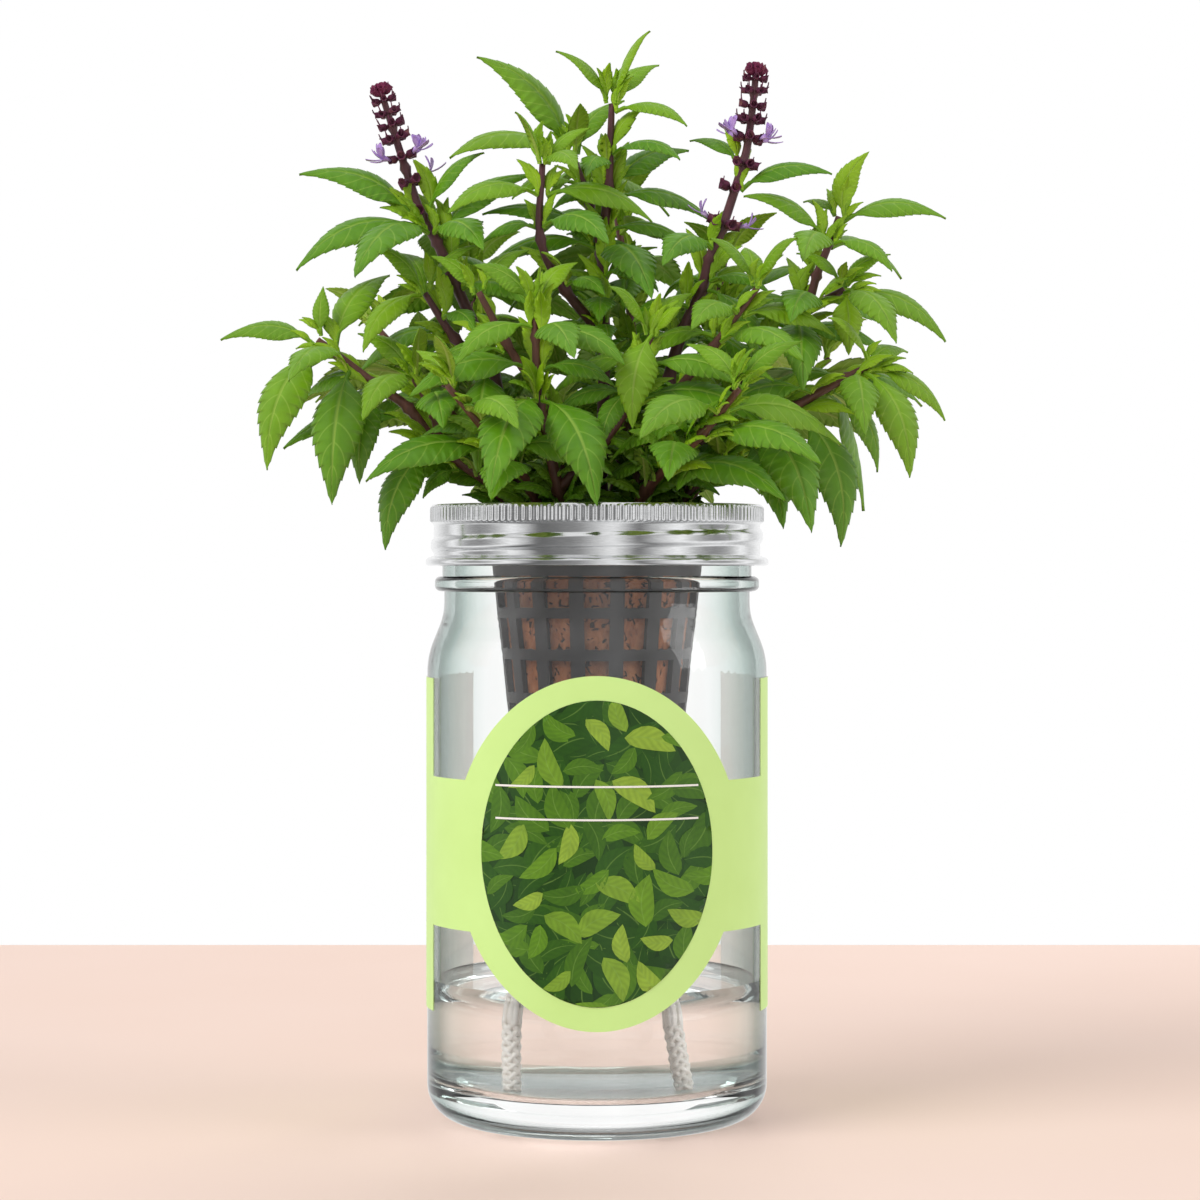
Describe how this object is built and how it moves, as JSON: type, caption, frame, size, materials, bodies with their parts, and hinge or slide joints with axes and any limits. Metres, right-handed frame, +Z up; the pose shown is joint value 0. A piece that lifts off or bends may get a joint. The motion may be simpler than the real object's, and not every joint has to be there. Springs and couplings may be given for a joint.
{
  "type": "hydroponic jar planter",
  "caption": "Glass jar planter: a net cup of coir with wicks hangs in the mouth under a screw band and carries a bushy herb.",
  "frame": {"origin": "centre of the ring that the glass jar stands on", "axes": "+Z up along the jar's axis; the label's oval faces -Y; +X is to the right seen from the front"},
  "size_m": [0.1932, 0.1525, 0.2891],
  "materials": {
    "glass": "gloss",
    "label_sheet": "satin",
    "band_metal": "satin",
    "cup_plastic": "matte",
    "coir": "matte",
    "cotton": "matte",
    "stem": "satin",
    "leaf": "satin",
    "calyx": "satin",
    "petal": "matte"
  },
  "bodies": {
    "jar": {"glass_jar": "glass", "label": "label_sheet"},
    "insert": {"net_cup": "cup_plastic", "wick_head_left": "cotton", "wick_head_right": "cotton", "wick_left": "cotton", "wick_right": "cotton"},
    "band": {"screw_band": "band_metal"},
    "plug": {"stem_left_spike": "stem", "leaves_left_spike": "leaf", "stem_right_spike": "stem", "leaves_right_spike": "leaf", "stem_centre": "stem", "leaves_centre": "leaf", "stem_far_left": "stem", "leaves_far_left": "leaf", "stem_right": "stem", "leaves_right": "leaf", "stem_upper_right": "stem", "leaves_upper_right": "leaf", "stem_front": "stem", "leaves_front": "leaf", "stem_front_left": "stem", "leaves_front_left": "leaf", "stem_front_right": "stem", "leaves_front_right": "leaf", "stem_back": "stem", "leaves_back": "leaf", "stem_back_left": "stem", "leaves_back_left": "leaf", "stem_back_right": "stem", "leaves_back_right": "leaf", "stem_inner_left": "stem", "leaves_inner_left": "leaf", "stem_inner_right": "stem", "leaves_inner_right": "leaf", "stem_side_left": "stem", "leaves_side_left": "leaf", "stem_side_right": "stem", "leaves_side_right": "leaf", "stem_back_low": "stem", "leaves_back_low": "leaf", "calyces_left_spike": "calyx", "flowers_left_spike": "petal", "calyces_right_spike": "calyx", "flowers_right_spike": "petal", "coir_plug": "coir"}
  },
  "joints": [
    {"name": "insert_lift", "type": "slide", "parent": "jar", "child": "insert", "axis": [0, 0, 1], "range_m": [0, 0.0051]},
    {"name": "band_turn", "type": "hinge", "parent": "insert", "child": "band", "pos_m": [0, 0, 0.155], "axis": [0, 0, 1], "range_deg": [0, 360]},
    {"name": "plug_lift", "type": "slide", "parent": "insert", "child": "plug", "axis": [0, 0, 1], "range_m": [0, 0.08]}
  ],
  "couplings": [
    {"joint": "insert_lift", "follows": "band_turn", "m_per_rad": 0.00080851}
  ]
}
